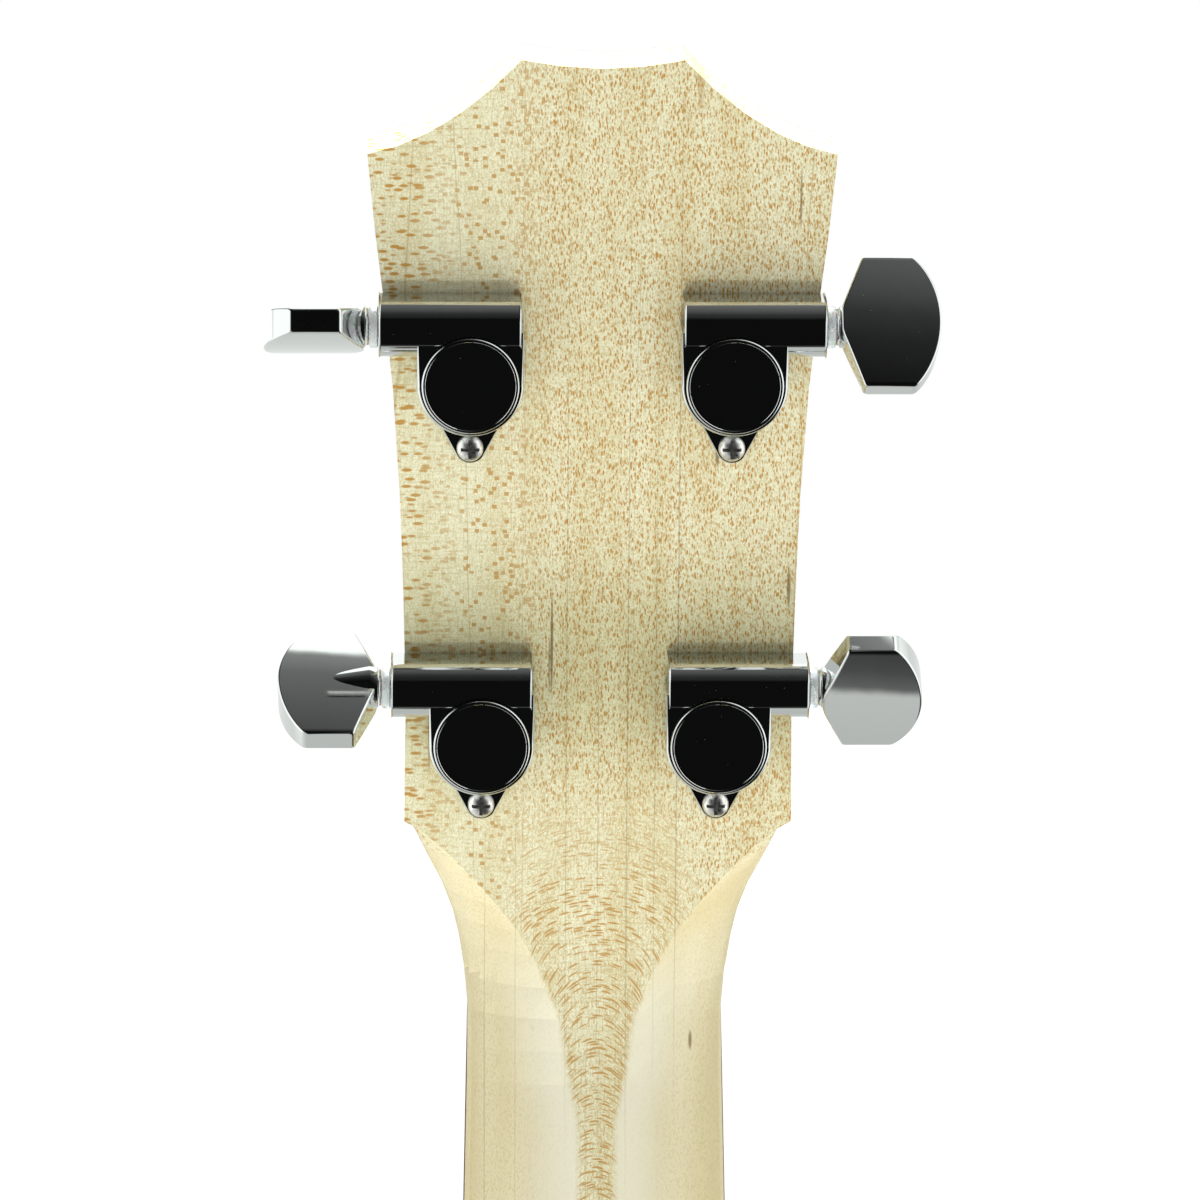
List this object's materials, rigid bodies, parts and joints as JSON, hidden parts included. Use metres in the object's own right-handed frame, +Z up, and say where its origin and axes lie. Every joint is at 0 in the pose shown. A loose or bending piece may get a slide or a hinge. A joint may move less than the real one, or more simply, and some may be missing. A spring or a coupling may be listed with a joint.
{
  "type": "acoustic bass guitar",
  "caption": "Short-scale acoustic bass guitar with a hollow body, fretted neck, tilted head and worm-geared tuners that wind its strings.",
  "frame": {"origin": "where a hanger's yoke holds the neck, just under the head, in the middle of the neck's wood", "axes": "+Z up the neck to the head, +Y out of the back of the instrument, +X to its treble side"},
  "size_m": [0.365, 0.1245, 0.9508],
  "materials": {
    "maple": "satin, pale, fine flecks",
    "spruce": "satin, straight grain",
    "brace_wood": "bare",
    "dark_wood": "oiled",
    "bone": "polished",
    "chrome": "mirror plated",
    "steel": "machined",
    "black_plastic": "satin",
    "bronze_winding": "wound"
  },
  "bodies": {
    "root": {"neck": "maple", "fingerboard": "dark_wood", "nut": "bone", "headstock_veneer": "dark_wood", "truss_rod": "steel", "truss_rod_cover": "black_plastic", "soundboard": "spruce", "back_plate": "maple", "side_bass": "maple", "side_treble": "maple", "neck_block": "brace_wood", "tail_block": "brace_wood", "bridge": "dark_wood", "saddle": "bone", "bridge_plate": "maple", "x_brace_bass": "brace_wood", "x_brace_treble": "brace_wood", "transverse_brace": "brace_wood", "back_brace_1": "brace_wood", "back_brace_2": "brace_wood", "strap_button": "chrome", "heel_bolt_1": "steel", "heel_bolt_2": "steel", "string_e": "bronze_winding", "bridge_pin_e": "black_plastic", "tuner_housing_e": "chrome", "tuner_cover_e": "chrome", "tuner_bushing_e": "chrome", "tuner_screw_e": "chrome", "string_a": "bronze_winding", "bridge_pin_a": "black_plastic", "tuner_housing_a": "chrome", "tuner_cover_a": "chrome", "tuner_bushing_a": "chrome", "tuner_screw_a": "chrome", "string_d": "bronze_winding", "bridge_pin_d": "black_plastic", "tuner_housing_d": "chrome", "tuner_cover_d": "chrome", "tuner_bushing_d": "chrome", "tuner_screw_d": "chrome", "string_g": "bronze_winding", "bridge_pin_g": "black_plastic", "tuner_housing_g": "chrome", "tuner_cover_g": "chrome", "tuner_bushing_g": "chrome", "tuner_screw_g": "chrome"},
    "tuner_knob_e": {"tuner_worm_e": "steel", "tuner_button_e": "chrome"},
    "tuner_spindle_e": {"tuner_post_e": "chrome"},
    "tuner_knob_a": {"tuner_worm_a": "steel", "tuner_button_a": "chrome"},
    "tuner_spindle_a": {"tuner_post_a": "chrome"},
    "tuner_knob_d": {"tuner_worm_d": "steel", "tuner_button_d": "chrome"},
    "tuner_spindle_d": {"tuner_post_d": "chrome"},
    "tuner_knob_g": {"tuner_worm_g": "steel", "tuner_button_g": "chrome"},
    "tuner_spindle_g": {"tuner_post_g": "chrome"},
    "truss_adjuster": {"truss_nut": "steel"}
  },
  "joints": [
    {"name": "button_turn_e", "type": "hinge", "parent": "root", "child": "tuner_knob_e", "pos_m": [-0.0194, 0.02173, 0.03265], "axis": [1, 0, 0], "continuous": true},
    {"name": "post_turn_e", "type": "hinge", "parent": "root", "child": "tuner_spindle_e", "pos_m": [-0.0194, 0.01446, 0.02559], "axis": [0, -0.9659, 0.2588], "continuous": true, "deforming": ["string_e"]},
    {"name": "button_turn_a", "type": "hinge", "parent": "root", "child": "tuner_knob_a", "pos_m": [-0.02135, 0.03742, 0.09118], "axis": [1, 0, 0], "continuous": true},
    {"name": "post_turn_a", "type": "hinge", "parent": "root", "child": "tuner_spindle_a", "pos_m": [-0.02135, 0.03014, 0.08413], "axis": [0, -0.9659, 0.2588], "continuous": true, "deforming": ["string_a"]},
    {"name": "button_turn_d", "type": "hinge", "parent": "root", "child": "tuner_knob_d", "pos_m": [0.02135, 0.03742, 0.09118], "axis": [1, 0, 0], "continuous": true},
    {"name": "post_turn_d", "type": "hinge", "parent": "root", "child": "tuner_spindle_d", "pos_m": [0.02135, 0.03014, 0.08413], "axis": [0, -0.9659, 0.2588], "continuous": true, "deforming": ["string_d"]},
    {"name": "button_turn_g", "type": "hinge", "parent": "root", "child": "tuner_knob_g", "pos_m": [0.0194, 0.02173, 0.03265], "axis": [1, 0, 0], "continuous": true},
    {"name": "post_turn_g", "type": "hinge", "parent": "root", "child": "tuner_spindle_g", "pos_m": [0.0194, 0.01446, 0.02559], "axis": [0, -0.9659, 0.2588], "continuous": true, "deforming": ["string_g"]},
    {"name": "truss_nut_turn", "type": "hinge", "parent": "root", "child": "truss_adjuster", "pos_m": [0, -0.0065, -0.0152], "axis": [0, 0, 1], "range_deg": [-180, 180]}
  ],
  "couplings": [
    {"joint": "post_turn_e", "follows": "button_turn_e", "ratio": -0.0625},
    {"joint": "post_turn_a", "follows": "button_turn_a", "ratio": -0.0625},
    {"joint": "post_turn_d", "follows": "button_turn_d", "ratio": 0.0625},
    {"joint": "post_turn_g", "follows": "button_turn_g", "ratio": 0.0625}
  ]
}
